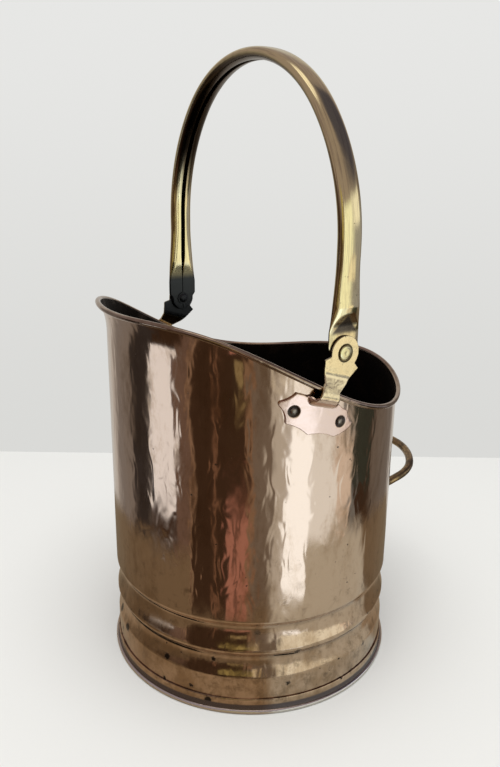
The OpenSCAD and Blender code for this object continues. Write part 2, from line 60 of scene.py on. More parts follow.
# the ears, in millimetres; places on them are from the pivot, along axes that lean with the ear
ear = dict(
    lean=radians(18.5), thick=2.0, voxel=0.4, rounds=2,
    grid=1.5, fineRows=(-46, -20), cutBox=((-44, 26), (-70, 15)),
    eye=13.8, eyeStart=-24, eyeTurn=228, eyeSteps=40,
    plate=(-9.3, -52.2), rivets=(-30.3, 11.7), rivetRow=-53.0,
    eyeFace=127.6, rollFace=136.25, wallFace=132.4,
    # where the strip bends, as heights over the pivot and the inner face there
    fold=[(20.0, 0.0), (-19.5, 0.0), (-36.2, 1.0), (-38.9, 1.0), (-43.4, 0.4), (-60, 0.4)], foldStep=0.9,
    # where the plate comes to lie on the wall: a height and a length, below the strip and beside it
    landing=(-38.6, 6.5), besideLanding=(-36.4, 2), besideStrip=(8.2, 5),
    strip=[(-19.2, -38.4), (-17.0, -33.0), (-14.6, -27.0), (-14.7, -21.5), (-17.75, -9.0), (-12.6, -5.8)],
    stripBack=[(12.6, -5.8), (17.75, -9.0), (8.6, -24.0), (1.2, -31.5), (0.6, -34.0), (1.2, -38.6)],
    # the plate's scalloped edge: each point, and how far the edge to the next one bows outwards
    edge=[(-12.4, 14.4, -0.3), (-23.3, 13.8, -1.0), (-32.2, 4.2, 0.9), (-32.2, 0.6, -1.7),
          (-23, -11.8, -1.5), (-3.6, -16.5, -2.0), (19, -14, 1.2), (33.4, -2.4, 0.5),
          (33.4, 0, -1.4), (25, 9, -0.7), (14, 12.8, -0.4)],
    headRoom=7.2, headSeat=0.7, dish=0.85, dishRadius=5.4,
)


def earPlace(u, v):
    sine, cosine = sin(ear["lean"]), cos(ear["lean"])
    return pivot.y / mm + u * cosine + v * sine, pivot.z / mm - u * sine + v * cosine


def share(value, start, length):
    return min(1, max(0, (value - start) / length))


def smooth(part):
    return part * part * (3 - 2 * part)


def sumOf(operation, swapped=False):
    return lambda *values: calc(operation, *(reversed(values) if swapped else values))


# a node's output that plain sums can use, so that sums in a tree read like any others
class nodeOut:
    __add__ = __radd__ = sumOf("ADD")
    __mul__ = __rmul__ = sumOf("MULTIPLY")
    __sub__, __rsub__ = sumOf("SUBTRACT"), sumOf("SUBTRACT", True)
    __truediv__, __abs__ = sumOf("DIVIDE"), sumOf("ABSOLUTE")
    __gt__, __lt__ = sumOf("GREATER_THAN"), sumOf("LESS_THAN")

    def __init__(self, node, output=0):
        self.node, self.tree, self.output = node, node.id_data, output


def feed(socket, value):
    if isinstance(value, nodeOut):
        value.tree.links.new(value.node.outputs[value.output], socket)
    elif value is not None:
        socket.default_value = value


def fill(node, inputs):
    for name, value in inputs.items():
        feed(node.inputs[name], value)


def addNode(tree, kind, inputs=None, output=0, **settings):
    # a kind without its family is of the tree's own
    family = "" if "Node" in kind else "GeometryNode" if tree.type == "GEOMETRY" else "ShaderNode"
    made = tree.nodes.new(family + kind)
    for name, value in settings.items():
        setattr(made, name, value)
    fill(made, inputs or {})
    return nodeOut(made, output)


def calc(operation, *values, kind="ShaderNodeMath", output=0, **settings):
    tree = next(value.tree for value in values if isinstance(value, nodeOut))
    return addNode(tree, kind, dict(enumerate(values)), output, operation=operation, **settings)


def vectorCalc(operation, *values, output=0):
    return calc(operation, *values, kind="ShaderNodeVectorMath", output=output)


def vector(tree, x=0.0, y=0.0, z=0.0):
    return addNode(tree, "ShaderNodeCombineXYZ", {"X": x, "Y": y, "Z": z})


def parts(place):
    apart = addNode(place.tree, "ShaderNodeSeparateXYZ", {"Vector": place})
    return [nodeOut(apart.node, k) for k in range(3)]


def mixColour(factor, *colours):
    first, second = [(*c, 1) if isinstance(c, tuple) else c for c in colours]
    return addNode(factor.tree, "ShaderNodeMix", {0: factor, 6: first, 7: second}, 2, data_type="RGBA")


def fade(value, low, high):
    # rises softly from 0 at low to 1 at high, or falls where low is the greater
    return addNode(value.tree, "ShaderNodeMapRange", {"Value": value, "From Min": low, "From Max": high},
                   interpolation_type="SMOOTHSTEP")


def noise(place, size, detail, rough=0.5, distortion=0.0, output=0):
    inputs = {"Vector": place, "Scale": size, "Detail": detail, "Roughness": rough, "Distortion": distortion}
    return addNode(place.tree, "ShaderNodeTexNoise", inputs, output)


def turnedFrom(azimuth, middle):
    # how far round a direction is from one in degrees
    return abs(calc("WRAP", azimuth - radians(middle), pi, -pi))


def within(offset, half, soft):
    # 1 inside half as many degrees to each side, with a soft edge
    return fade(offset, radians(half + soft), radians(half - soft))


def newGroup(name, family, takes, gives):
    # takes and gives hold each socket's usual value, or the kind of one that has none
    tree = bpy.data.node_groups.new(name, family + "NodeTree")
    for way, sockets in (("INPUT", takes), ("OUTPUT", gives)):
        for label, value in sockets.items():
            made = value if isinstance(value, str) else "Int" if isinstance(value, int) else "Float"
            socket = tree.interface.new_socket(label, in_out=way, socket_type="NodeSocket" + made)
            if made != value:
                socket.default_value = value
    entry, leave = tree.nodes.new("NodeGroupInput"), tree.nodes.new("NodeGroupOutput")
    return tree, {label: nodeOut(entry, label) for label in takes}, leave.inputs


def placeGroup(tree, group, **values):
    made = addNode(tree, "Group", node_tree=group).node
    for socket in made.inputs:
        feed(socket, values.get(socket.name.replace(" ", "")))
    return {socket.name: nodeOut(made, socket.name) for socket in made.outputs}


def coated(shape, material):
    real = addNode(shape.tree, "RealizeInstances", {"Geometry": shape})
    return addNode(shape.tree, "SetMaterial", {"Geometry": real, "Material": material})


def newMaterial(name):
    material = bpy.data.materials.new(name)
    material.use_nodes = True
    tree = material.node_tree
    return material, tree, tree.nodes["Principled BSDF"], addNode(tree, "TexCoord", output="Object")


def link(name, data):
    made = bpy.data.objects.new(name, data)
    bpy.context.scene.collection.objects.link(made)
    return made


def newObject(name, points, faces, material=None):
    mesh = bpy.data.meshes.new(name)
    mesh.from_pydata([tuple(p) for p in points], [], faces)
    mesh.polygons.foreach_set("use_smooth", [True] * len(faces))
    if material:
        mesh.materials.append(material)
    return link(name, mesh)


def plain(thing):
    # bakes the modifiers into the mesh and takes them off
    baked = bpy.data.meshes.new_from_object(thing.evaluated_get(bpy.context.evaluated_depsgraph_get()))
    old, thing.data = thing.data, baked
    thing.modifiers.clear()
    bpy.data.meshes.remove(old)
    baked.name = thing.name
    return thing


def grow(name, tree, values, places=()):
    # a piece that a geometry tree makes from its inputs, and from a list of places if it has one
    made = newObject(name, places, [])
    modifier = made.modifiers.new("shape", "NODES")
    modifier.node_group = tree
    for item in tree.interface.items_tree:
        if item.in_out == "INPUT" and item.name in values:
            modifier[item.identifier] = values[item.name]
    return plain(made)


def eased(thing, voxel, rounds, material):
    # rounds all edges a little, as handling does; modifiers that are there come first
    soft = thing.modifiers.new("soft", "REMESH")
    soft.mode, soft.voxel_size, soft.use_smooth_shade = "VOXEL", voxel * mm, True
    ease = thing.modifiers.new("ease", "SMOOTH")
    ease.factor, ease.iterations = 0.5, rounds
    plain(thing)
    thing.data.materials.clear()
    thing.data.materials.append(material)


def smoothed(thing, angle):
    # soft shading, but for edges sharper than the angle
    thing.data.polygons.foreach_set("use_smooth", [True] * len(thing.data.polygons))
    thing.data.set_sharp_from_angle(angle=radians(angle))
    return thing


def outward(shape):
    bmesh.ops.recalc_face_normals(shape, faces=shape.faces)


def reshape(thing, *steps, source=None):
    # runs each step on the thing's mesh, or on a copy of another mesh
    shape = bmesh.new()
    shape.from_mesh(source or thing.data)
    for step in steps:
        step(shape)
    shape.to_mesh(thing.data)
    shape.free()


def skin(name, rings, material, closed=False):
    # rings of points, capped at both ends unless the skin closes on itself
    count, size = len(rings), len(rings[0])
    faces = [(k * size + i, k * size + (i + 1) % size,
              (k + 1) % count * size + (i + 1) % size, (k + 1) % count * size + i)
             for k in range(count - (0 if closed else 1)) for i in range(size)]
    if not closed:
        for end in (0, (count - 1) * size):
            strip = [(end + i, end + i + 1, end + size - 2 - i, end + size - 1 - i)
                     for i in range(size // 2 - 1)]
            faces += strip if end else [tuple(reversed(f)) for f in strip]
    made = newObject(name, [p for ring in rings for p in ring], faces, material)
    reshape(made, outward)
    return made


def turned(name, profile, place, axis, material=None, around=48):
    # a shape turned about an axis: the profile gives distance along it and radius
    axis = Vector(axis).normalized()
    first = axis.orthogonal().normalized()
    second = axis.cross(first)
    rings = []
    for k in range(around):
        turn = 2 * pi * k / around
        spoke = first * cos(turn) + second * sin(turn)
        rings.append([Vector(place) + axis * a + spoke * max(r, 1e-6) for a, r in profile])
    made = skin(name, rings, material, closed=True)
    reshape(made, lambda shape: bmesh.ops.remove_doubles(shape, verts=shape.verts, dist=4e-6),
            lambda shape: bmesh.ops.dissolve_degenerate(shape, edges=shape.edges, dist=1e-6), outward)
    return made


def settle(thing, body, *nodes, slot):
    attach(thing, body)
    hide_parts(*nodes)


view = dict(
    place=(548.8 * mm, -383.1 * mm, 474.2 * mm), azimuth=55.3, down=17.78, roll=0.75,
    lens=35.2, film=36, nearest=0.01,
)


def makeCamera():
    turn, down, roll = (radians(view[k]) for k in ("azimuth", "down", "roll"))
    ahead = Vector((-sin(turn) * cos(down), cos(turn) * cos(down), -sin(down)))
    right = Vector((cos(turn), sin(turn), 0))
    up = right.cross(ahead)
    tiltedRight = right * cos(roll) + up * sin(roll)
    tiltedUp = up * cos(roll) - right * sin(roll)
    data = bpy.data.cameras.new("camera")
    data.lens, data.sensor_width, data.clip_start = view["lens"], view["film"], view["nearest"]
    camera = link("camera", data)
    rows = [(tiltedRight[i], tiltedUp[i], -ahead[i], view["place"][i]) for i in range(3)]
    camera.matrix_world = Matrix(rows + [(0, 0, 0, 1)])
    bpy.context.scene.camera = camera


# what the room is like apart from its patches
studio = {
    "room": (0.06, 0.036, 0.022), "above": (0.34, 0.30, 0.32), "horizon": (0.0, 0.12),
    "onFloor": (0.66, 0.66, 0.65),
    "seenLow": (0.70, 0.70, 0.68), "seenHigh": (0.80, 0.80, 0.785), "seenFade": (-0.4, 0.2),
}

# light and shade round the room: azimuth and height in degrees, half widths, softness of the edge
# and brightness. The metal mirrors the low patches, so they decide how it looks
patches = {
    "leftWall": ((-158, -20), (17, 35), 5, (0.26, 0.245, 0.235)),
    "brownDoor": ((-91, -20), (6, 35), 3, (0.19, 0.135, 0.11)),
    "sideWindow": ((-108.5, -20), (11.5, 7), 1.5, (1.15, 1.3, 1.5)),
    "yellowShade": ((-44, -16), (6, 3), 1.5, (0.36, 0.3, 0.16)),
    "redCloth": ((-42, -34.3), (13, 6.7), 1.6, (0.47, 0.235, 0.185)),
    "redFold": ((-44, -34.3), (1.4, 6.7), 1, (0.16, 0.085, 0.06)),
    "middleWall": ((-25, -20), (9, 35), 3, (0.22, 0.19, 0.16)),
    "underSill": ((32, -38), (22, 14), 3, (0.44, 0.39, 0.33)),
    "windowFrame": ((-13, -24), (6, 15), 3, (0.65, 0.68, 0.66)),
    "window": ((6, -24), (15, 15), 2, (1.6, 1.9, 2.2)),
    "windowRight": ((28, -20), (14, 13.5), 2, (1.1, 1.25, 1.35)),
    "greyWall": ((49, -20), (6, 35), 3, (0.2, 0.23, 0.25)),
    "rightWall": ((92, -20), (17, 35), 4, (0.19, 0.17, 0.15)),
    "shelfEdge": ((-84, -30), (1.6, 22), 1.2, (0.34, 0.24, 0.17)),
    "chairLeg": ((-64, -30), (1.2, 20), 1.0, (0.24, 0.14, 0.09)),
    "chairBack": ((-34, -24), (2.0, 16), 1.4, (0.30, 0.2, 0.13)),
    "oliveShade": ((-43, 7.5), (13, 11.5), 1.5, (0.42, 0.37, 0.15)),
    "thinPost": ((-29.5, 5), (1.3, 14), 0.7, (1.0, 0.95, 0.7)),
    "curtain": ((-132, -23), (11, 15), 2.5, (0.05, 0.045, 0.045)),
    "paleSide": ((64, -4), (24, 12), 2, (0.36, 0.38, 0.46)),
    "darkDoor": ((60, -20.5), (13, 4.7), 1.2, (0.05, 0.06, 0.05)),
    "darkSide": ((72, 40), (26, 22), 9, (0.08, 0.08, 0.13)),
    "highWindow": ((13.5, -1), (28, 15.5), 2.5, (1.15, 1.25, 1.15)),
    "windowTail": ((42, -25), (7, 4), 2.5, (0.9, 0.86, 0.8)),
    "earGlow": ((43, -14), (6.5, 4), 1.2, (1.13, 1.1, 0.98)),
    "foldGlow": ((54, 9.5), (12, 7), 2.5, (1.1, 1.15, 1.2)),
    "skylight": ((0, 86), (200, 14), 4, (1.3, 1.3, 1.28)),
    "backLight": ((150, -10), (38, 45), 8, (0.58, 0.56, 0.52)),
}


def makeWorld():
    world = bpy.data.worlds.new("studio")
    bpy.context.scene.world = world
    world.use_nodes = True
    tree = world.node_tree
    tree.nodes.clear()
    x, y, z = parts(addNode(tree, "TexCoord", output="Generated"))
    azimuth, height = calc("ARCTAN2", y, x), calc("ARCSINE", z)
    light = mixColour(fade(height, *studio["horizon"]), studio["room"], studio["above"])
    for (side, rise), (wide, high), soft, glow in patches.values():
        beside = within(turnedFrom(azimuth, side), wide, soft)
        light = mixColour(beside * within(abs(height - radians(rise)), high, soft), light, glow)
    rays = addNode(tree, "LightPath").node
    light = mixColour(nodeOut(rays, "Is Diffuse Ray"), light, studio["onFloor"])
    seen = mixColour(fade(height, *studio["seenFade"]), studio["seenLow"], studio["seenHigh"])
    light = mixColour(nodeOut(rays, "Is Camera Ray"), light, seen)
    addNode(tree, "OutputWorld", {"Surface": addNode(tree, "Background", {"Color": light, "Strength": 1.0})})


# the pale tabletop; in the metal it shows as a browner one that reaches less far
floor = dict(
    half=0.437, reachOut=2.4, tone=(0.83, 0.83, 0.815), grain=260.0, grainDark=0.985,
    mirrored=(0.2, 0.155, 0.10), mirroredNear=(0.40, 0.32, 0.22), mirroredBright=(0.56, 0.58, 0.53),
    brightSide=(14, 36), nearSide=(8, 34), near=(0.225, 0.19),
    # how far the mirrored one reaches, and the sides where it differs: middle, half width, reach
    reach=0.26, reachSides=[(-125, 52, 0.375), (50, 50, 0.41), (-16, 16, 0.30)],
    sideSoft=4, edgeSoft=0.03,
)


def makeFloor():
    half, out, reach = floor["half"], floor["reachOut"], floor["reach"]
    turn = Matrix.Rotation(radians(view["azimuth"]), 3, "Z")
    corners = [turn @ Vector((x, y, 0)) for x, y in ((-out, -out), (out, -out), (out, half), (-out, half))]
    material, tree, shader, place = newMaterial("paleFloor")
    darker = tuple(floor["grainDark"] * c for c in floor["tone"])
    tone = mixColour(noise(place, floor["grain"], 4.0), darker, floor["tone"])
    x, y, _ = parts(place)
    azimuth = calc("ARCTAN2", y, x)

    def sector(middle, halfWidth):
        return within(turnedFrom(azimuth, middle), halfWidth, floor["sideSoft"])

    distance = vectorCalc("LENGTH", place, output="Value")
    bright = floor["mirroredBright"]
    mirrored = mixColour(fade(distance, *floor["near"]),
                         mixColour(sector(*floor["brightSide"]), floor["mirrored"], bright),
                         mixColour(sector(*floor["nearSide"]), floor["mirroredNear"], bright))
    inMetal = addNode(tree, "LightPath", output="Is Glossy Ray")
    fill(shader, {"Base Color": mixColour(inMetal, tone, mirrored), "Roughness": 0.75,
                  "Specular IOR Level": 0.2})
    for middle, halfWidth, sideReach in floor["reachSides"]:
        reach = sector(middle, halfWidth) * (sideReach - floor["reach"]) + reach
    past = fade(distance - reach, -floor["edgeSoft"], floor["edgeSoft"])
    clear = addNode(tree, "BsdfTransparent")
    mixed = addNode(tree, "MixShader", {0: past * inMetal, 1: nodeOut(shader), 2: clear})
    feed(tree.nodes["Material Output"].inputs["Surface"], mixed)
    newObject("floor", corners, [(0, 1, 2, 3)], material)


lamp = dict(place=(0.4, -0.35, 2.2), aim=(0, 0, 0.2), size=1.6, power=27, tone=(1, 0.99, 0.97))


def makeLamp():
    data = bpy.data.lights.new("overheadLamp", "AREA")
    data.shape, data.size, data.energy, data.color = "DISK", lamp["size"], lamp["power"], lamp["tone"]
    made = link("overheadLamp", data)
    made.location = lamp["place"]
    made.rotation_euler = (Vector(lamp["aim"]) - made.location).to_track_quat("-Z", "Y").to_euler()
    made.visible_glossy = False


makeCamera()
makeWorld()
makeFloor()
makeLamp()
bpy.context.scene.view_settings.view_transform = "Standard"
print("studio ready")


def stretched(place, amount):
    return vectorCalc("MULTIPLY", place, vector(place.tree, 1.0, 1.0, amount))


def buildTarnishGroup():
    # old lacquer: cloudy patches at two sizes, with the clean metal between them
    tree, takes, gives = newGroup("oldTarnish", "Shader", {
        "Vector": "Vector", "Patch Size": 40.0, "Streak": 1.0, "Amount": 0.5, "Clean": "Color",
        "Tarnished": "Color"}, {"Colour": "Color", "Mask": "Float"})
    place = stretched(takes["Vector"], takes["Streak"])
    big = noise(place, takes["Patch Size"], 5.0, 0.6, 0.4)
    fine = noise(place, takes["Patch Size"] * 7.0, 4.0, 0.7)
    start = 0.72 - takes["Amount"] * 0.5
    mask = fade(big * 0.72 + fine * 0.28, start, start + 0.2)
    feed(gives["Mask"], mask)
    feed(gives["Colour"], mixColour(mask, takes["Clean"], takes["Tarnished"]))
    return tree


def buildPlanishGroup():
    # the uneven face of hammered and drawn sheet, as a bump
    tree, takes, gives = newGroup("unevenSheet", "Shader", {
        "Vector": "Vector", "Wave Size": 30.0, "Stretch": 0.4, "Wave Height": 0.3, "Ripple Size": 110.0,
        "Ripple Height": 0.0, "Grain Size": 900.0, "Grain Height": 0.01}, {"Normal": "Vector"})
    place = stretched(takes["Vector"], takes["Stretch"])
    wave = noise(place, takes["Wave Size"], 2.0, 0.45, 0.6)
    ripple = noise(place, takes["Ripple Size"], 1.0, distortion=0.8)
    grain = noise(takes["Vector"], takes["Grain Size"], 3.0)
    waves = wave * takes["Wave Height"] + ripple * takes["Ripple Height"]
    bump = None
    for height in (waves, grain * takes["Grain Height"]):
        bump = addNode(tree, "Bump", {"Height": height, "Distance": 0.001, "Strength": 1.0, "Normal": bump})
    feed(gives["Normal"], bump)
    return tree


def buildSpeckGroup():
    # small dark pits and spots
    tree, takes, gives = newGroup("darkSpecks", "Shader", {
        "Vector": "Vector", "Spacing": 90.0, "Share": 0.12}, {"Mask": "Float"})
    wobble = noise(takes["Vector"], 700.0, 2.0, output="Color")
    uneven = vectorCalc("MULTIPLY_ADD", wobble, (0.003, 0.003, 0.003), takes["Vector"])
    cells = addNode(tree, "TexVoronoi", {"Vector": uneven, "Scale": takes["Spacing"], "Randomness": 1.0}).node
    size = addNode(tree, "SeparateColor", {"Color": nodeOut(cells, "Color")})
    radius = calc("POWER", size, 4.0) * takes["Share"]
    feed(gives["Mask"], addNode(tree, "MapRange", {
        "Value": nodeOut(cells, "Distance"), "From Min": radius * 0.6, "From Max": radius,
        "To Min": 1.0, "To Max": 0.0}))
    return tree


def buildWearGroup():
    # bright raised edges and dark hollows, from how sharply the surface bends
    tree, takes, gives = newGroup("edgeWear", "Shader", {"Sharpness": 0.02},
                                  {"Raised": "Float", "Hollow": "Float"})
    bend = addNode(tree, "NewGeometry", output="Pointiness")
    for label, low, high in (("Raised", 0.505, takes["Sharpness"] + 0.54), ("Hollow", 0.495, 0.46)):
        feed(gives[label], addNode(tree, "MapRange", {"Value": bend, "From Min": low, "From Max": high}))
    return tree


tarnishGroup, planishGroup = buildTarnishGroup(), buildPlanishGroup()
speckGroup, wearGroup = buildSpeckGroup(), buildWearGroup()


def metal(name, clean, tarnished, patch=40.0, streak=1.0, amount=0.5, rough=(0.2, 0.4), wave=30.0,
          stretch=1.0, waveHeight=0.2, ripple=(110.0, 0.0), grain=900.0, grainHeight=0.006,
          specks=(90.0, 0.1), worn=None, hollow=(0.03, 0.02, 0.012), coat=0.3, coatRough=0.12, wear=0.6,
          tints=()):
    # each tint has the measures that place it, its colour, the roughness it adds and at times how
    # much it covers at most; a measure's pair runs from untouched to fully covered
    material, tree, shader, place = newMaterial(name)
    tarnish = placeGroup(tree, tarnishGroup, Vector=place, PatchSize=patch, Streak=streak, Amount=amount,
                         Clean=(*clean, 1), Tarnished=(*tarnished, 1))
    edges = placeGroup(tree, wearGroup, Sharpness=0.02)
    spots = placeGroup(tree, speckGroup, Vector=place, Spacing=specks[0], Share=specks[1])["Mask"]
    colour = mixColour(edges["Raised"] * wear, tarnish["Colour"], worn or clean)
    colour = mixColour(edges["Hollow"] * 0.8, colour, hollow)
    colour = mixColour(spots * 0.85, colour, hollow)
    soft = tarnish["Mask"] * (rough[1] - rough[0]) + rough[0]
    at = parts(place)
    for where, tone, extra, *most in tints:
        found = [(measures[name](*at), ends) for name, ends in where.items()]
        first, *others = [fade(value, *ends) if ends else value for value, ends in found]
        covered = prod([*others, *most], start=first)
        colour = mixColour(covered, colour, tone)
        soft = soft + covered * extra
    sheet = placeGroup(
        tree, planishGroup, Vector=place, WaveSize=wave, Stretch=stretch, WaveHeight=waveHeight,
        RippleSize=ripple[0], RippleHeight=ripple[1], GrainSize=grain, GrainHeight=grainHeight)
    fill(shader, {
        "Base Color": colour, "Roughness": calc("ADD", soft, spots * 0.3, use_clamp=True), "Metallic": 1.0,
        "Normal": sheet["Normal"], "Coat Weight": coat, "Coat Roughness": coatRough})
    return material


# how the marks of age are spread and how fine they are
aging = dict(pressFoot=0.0165, pressNarrows=0.85, streakSize=2.6, grimeSize=95.0, grimeLeast=0.43,
             grimeClears=0.8, pitSpacing=80.0, pitShare=0.44)


def attribute(x, name):
    return addNode(x.tree, "Attribute", output="Fac", attribute_name=name)


def awayFrom(y, z, place):
    # distance from a line along the X axis through a place in y and z
    return vectorCalc("LENGTH", vector(y.tree, y - place[0], z - place[1]), output="Value")


def overPress(z):
    return z - (pivot.z + aging["pressFoot"])


def nearDish(x, y, z):
    rivets = [[c * mm for c in earPlace(u, ear["rivetRow"])] for u in ear["rivets"]]
    return calc("MINIMUM", *[awayFrom(y, z, rivet) for rivet in rivets])


def streaks(x, y, z):
    # polishing streaks that run along the arch
    place = vector(x.tree, *(attribute(x, name) for name in ("side", "across", "run")))
    return noise(place, aging["streakSize"], 5.0, 0.6)


def grime(x, y, z):
    # brown stains that thicken towards the foot
    stain = noise(vector(x.tree, x, y, z), aging["grimeSize"], 10.0, 0.75, 0.3)
    return stain - (z * aging["grimeClears"] + aging["grimeLeast"])


def pits(x, y, z):
    return placeGroup(x.tree, speckGroup, Vector=vector(x.tree, x, y, z), Spacing=aging["pitSpacing"],
                      Share=aging["pitShare"])["Mask"]


# what tells where a mark of age or of painted shade lies, from the place on the piece
measures = {
    "side": lambda x, y, z: abs(x), "height": lambda x, y, z: z, "foot": lambda x, y, z: z,
    "inside": lambda x, y, z: attribute(x, "inside"), "seam": lambda x, y, z: attribute(x, "side"),
    "press": lambda x, y, z: overPress(z),
    "pressSpread": lambda x, y, z: abs(y - pivot.y) + overPress(z) * aging["pressNarrows"],
    "ring": lambda x, y, z: awayFrom(y, z, (pivot.y, pivot.z)),
    "plate": lambda x, y, z: (y - pivot.y) * sin(ear["lean"]) + (z - pivot.z) * cos(ear["lean"]),
    "dish": nearDish, "streaks": streaks, "grime": grime, "pits": pits,
}

# a near-black grey for the inward faces of the ears and pressed ends, and for the pivot tails and washers
nearBlack = (0.035, 0.035, 0.037)
stains = [(dict(grime=(0.0, 0.2)), (0.27, 0.18, 0.115), 0.1, 0.85),
          (dict(pits=None, height=(0.09, 0.07)), (0.03, 0.02, 0.015), 0.3)]
# painted shade in the cove, and the bead made paler below its crest
footStainsAndShade = [*stains, (dict(height=(0.0092, 0.0076), foot=(0.0036, 0.0046)), (0.13, 0.105, 0.11), 0.15),
              (dict(height=(0.0042, 0.0034)), (0.74, 0.68, 0.65), 0.05)]
bailMarks = [
    (dict(streaks=(0.46, 0.66)), (0.36, 0.26, 0.17), 0.05, 0.55),
    # painted shade on the seam's side high up, the arch's underside
    (dict(seam=(0.05, -0.5), height=(pivot.z + 0.095, pivot.z + 0.15)), (0.10, 0.07, 0.045), 0.1),
    # dull grey on the pressed ends, on the side that faces the bucket's inside
    (dict(side=(0.1267, 0.1261), height=(pivot.z + 0.035, pivot.z + 0.019)), nearBlack, 0.3),
    # painted shade inside the hollow of the folded sheet
    (dict(inside=None), (0.06, 0.045, 0.03), 0.3),
    # a darker brown in the slope that pressing has left on the outer side, narrower the higher up
    (dict(side=(0.1265, 0.1270), press=(-0.003, 0.001), pressSpread=(0.0135, 0.0105)),
     (0.12, 0.095, 0.07), 0.12),
]
earMarks = [
    # the plate is redder than the strip above it
    (dict(plate=(-0.035, -0.040)), (0.68, 0.48, 0.38), 0.02),
    (dict(side=(0.1288, 0.1282), height=(0.292, 0.296)), nearBlack, 0.3),
    # painted shade in the recess round the pivot's head, and in the dishes round the fixing rivets
    (dict(ring=(0.0079, 0.0072), side=(0.1284, 0.1288)), (0.16, 0.12, 0.06), 0.1),
    (dict(dish=(0.0056, 0.0044)), (0.05, 0.035, 0.025), 0.25),
]
copperLook = dict(
    clean=(0.60, 0.43, 0.31), tarnished=(0.40, 0.26, 0.16), patch=22.0, streak=0.5, amount=0.55,
    rough=(0.075, 0.17), wave=17.0, stretch=0.42, waveHeight=2.1, ripple=(95.0, 0.34),
    grain=1500.0, specks=(120.0, 0.13), worn=(0.7, 0.52, 0.36), coatRough=0.04, wear=0.25)
lacqueredCopper = metal("lacqueredCopper", **copperLook, tints=stains)
footCopper = metal("footCopper", **{**copperLook, "waveHeight": 0.5}, tints=footStainsAndShade)
sootyCopper = metal(
    "sootyCopper", (0.07, 0.045, 0.03), (0.018, 0.014, 0.011), patch=30.0,
    amount=0.8, rough=(0.45, 0.7), waveHeight=0.4, grainHeight=0.05, coat=0.0, wear=0.1)
bailBrass = metal(
    "bailBrass", (0.78, 0.63, 0.34), (0.42, 0.30, 0.16), patch=18.0, streak=0.5,
    amount=0.45, rough=(0.13, 0.24), wave=40.0, stretch=0.35, waveHeight=0.35, grainHeight=0.01,
    specks=(150.0, 0.1), worn=(0.85, 0.70, 0.42), coat=0.2, wear=0.4, tints=bailMarks)
earBrass = metal(
    "earBrass", (0.79, 0.64, 0.37), (0.50, 0.38, 0.20), patch=45.0, amount=0.4,
    rough=(0.16, 0.28), wave=90.0, waveHeight=0.3, grainHeight=0.015, specks=(160.0, 0.12),
    worn=(0.85, 0.72, 0.45), coat=0.2, wear=0.5, tints=earMarks)
rivetBrass = metal(
    "rivetBrass", (0.72, 0.62, 0.34), (0.46, 0.36, 0.19), patch=90.0, amount=0.4,
    rough=(0.2, 0.32), wave=120.0, waveHeight=0.15, coat=0.1, wear=0.1,
    tints=[(dict(side=(0.1275, 0.1265)), nearBlack, 0.3)])
dullBrass = metal(
    "dullBrass", (0.26, 0.22, 0.18), (0.09, 0.07, 0.055), patch=120.0,
    rough=(0.3, 0.5), wave=200.0, coat=0.0, wear=0.2)
bowBrass = metal(
    "bowBrass", (0.42, 0.28, 0.13), (0.12, 0.08, 0.045), patch=60.0, amount=0.65,
    wave=100.0, waveHeight=0.3, coat=0.15, wear=0.5)
drawnIron = metal(
    "drawnIron", (0.3, 0.29, 0.28), (0.12, 0.09, 0.07), patch=80.0,
    rough=(0.35, 0.6), waveHeight=0.1, coat=0.0, wear=0.3)
print("finishes ready")

# the bucket's wall: a grid bent round the axis, with its two bands, flare and slanted mouth
wall = {
    "Around": 400, "Low Rows": 70, "High Rows": 70, "Inner Rows": 44,
    "Split Height": 104 * mm, "Rim Room": 0.3 * mm, "Band Depth": 4 * mm, "Cove Share": 0.72,
    "Upper Band Z": 62 * mm, "Upper Band H": 28 * mm, "Lower Band Z": 35 * mm, "Lower Band H": 24.5 * mm,
    "Dent Depth": 0.45 * mm, "Dent Size": 22.0, "Dent Stretch": 0.3,
}


def mouthSheet(tree):
    # a ribbon across the bucket whose height is the mouth's, to look up heights on
    points = zip(("Start", "Start Handle", "End Handle", "End"), bucket["mouth"])
    line = addNode(tree, "CurvePrimitiveBezierSegment", {
        "Resolution": 64, **{name: (-0.2, y, z) for name, (y, z) in points}})
    edges = addNode(tree, "CurveToMesh", {"Curve": line})
    return addNode(tree, "ExtrudeMesh", {"Mesh": edges, "Offset": vector(tree, 0.4), "Offset Scale": 1.0},
                   mode="EDGES")


def mouthHeight(sheet, y):
    return parts(addNode(y.tree, "Raycast", {
        "Target Geometry": sheet, "Source Position": vector(y.tree, y=y), "Ray Direction": (0, 0, 1),
        "Ray Length": 1.0}, "Hit Position"))[2]


def flareAt(height):
    rise = addNode(height.tree, "ShaderNodeMapRange", {
        "Value": height, "From Min": bucket["flareStart"], "From Max": bucket["flareTop"]}, clamp=False)
    return calc("POWER", calc("MAXIMUM", rise, 0.0), 2.0) * bucket["flare"]


def bandDip(height, takes, label):
    # a long cove that rises as a sine, and a short one that falls back as a cosine
    u = (height - takes[label + " Band Z"]) / takes[label + " Band H"]
    cove = takes["Cove Share"]
    low = calc("SINE", u / cove * (pi / 2)) * ((u > 0.0) * (u < cove))
    high = calc("COSINE", (u - cove) / (1.0 - cove) * (pi / 2)) * ((u < 1.0) * (1.0 - (u < cove)))
    return (low + high) * takes["Band Depth"]


